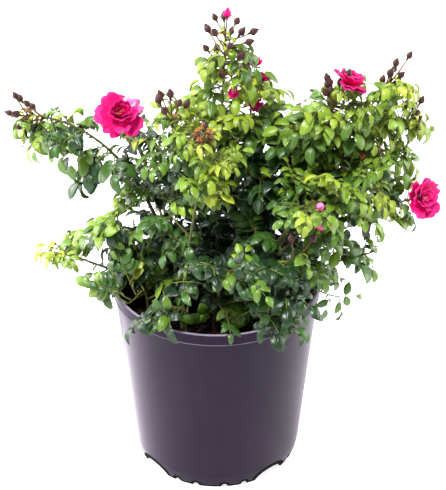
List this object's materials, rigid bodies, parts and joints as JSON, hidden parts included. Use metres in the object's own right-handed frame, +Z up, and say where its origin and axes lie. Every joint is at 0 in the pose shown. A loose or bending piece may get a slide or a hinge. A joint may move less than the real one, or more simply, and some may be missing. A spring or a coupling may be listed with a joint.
{
  "type": "rose bush in a nursery pot",
  "caption": "Small leafy rose bush with pink double blooms and bud clusters on arching canes, standing in a round tapered nursery pot filled with mix.",
  "frame": {"origin": "centre of the pot's flat underside, on the ground and on the pot's axis", "axes": "+Z up along the pot's axis; -Y is the side that faces the viewer, so +X is the viewer's right"},
  "size_m": [0.4684, 0.3345, 0.5344],
  "materials": {
    "pot": "satin dark aubergine plastic",
    "potting_mix": "coarse damp bark mix",
    "bark": "rough brown bark",
    "cane": "green to reddish cane skin",
    "foliage": "satin leaf"
  },
  "bodies": {
    "root": {"back_cane": "cane", "back_foliage": "foliage", "back_left_cane": "cane", "back_left_foliage": "foliage", "back_left_low_cane": "cane", "back_left_low_foliage": "foliage", "back_low_cane": "cane", "back_low_foliage": "foliage", "back_right_cane": "cane", "back_right_foliage": "foliage", "back_right_low_cane": "cane", "back_right_low_foliage": "foliage", "centre_cane": "cane", "centre_foliage": "foliage", "crown": "bark", "front_dome_cane": "cane", "front_dome_foliage": "foliage", "front_left_rim_foliage": "foliage", "front_low_cane": "cane", "front_low_foliage": "foliage", "front_right_cane": "cane", "front_right_dome_cane": "cane", "front_right_dome_foliage": "foliage", "front_right_foliage": "foliage", "front_right_rim_foliage": "foliage", "front_rim_foliage": "foliage", "left_arm_cane": "cane", "left_arm_foliage": "foliage", "left_bloom_cane": "cane", "left_bloom_foliage": "foliage", "left_dome_cane": "cane", "left_dome_foliage": "foliage", "left_low_cane": "cane", "left_low_foliage": "foliage", "left_middle_cane": "cane", "left_middle_foliage": "foliage", "left_rim_foliage": "foliage", "pot": "pot", "potting_mix": "potting_mix", "right_back_cane": "cane", "right_back_foliage": "foliage", "right_bloom_cane": "cane", "right_bloom_foliage": "foliage", "right_dome_cane": "cane", "right_dome_foliage": "foliage", "right_end_cane": "cane", "right_end_foliage": "foliage", "right_inner_cane": "cane", "right_inner_foliage": "foliage", "right_low_cane": "cane", "right_low_foliage": "foliage", "right_rim_foliage": "foliage", "right_spire_cane": "cane", "right_spire_foliage": "foliage", "right_top_bloom_cane": "cane", "right_top_bloom_foliage": "foliage", "spire_shoulder_cane": "cane", "spire_shoulder_foliage": "foliage", "top_spire_cane": "cane", "top_spire_foliage": "foliage"}
  },
  "joints": []
}
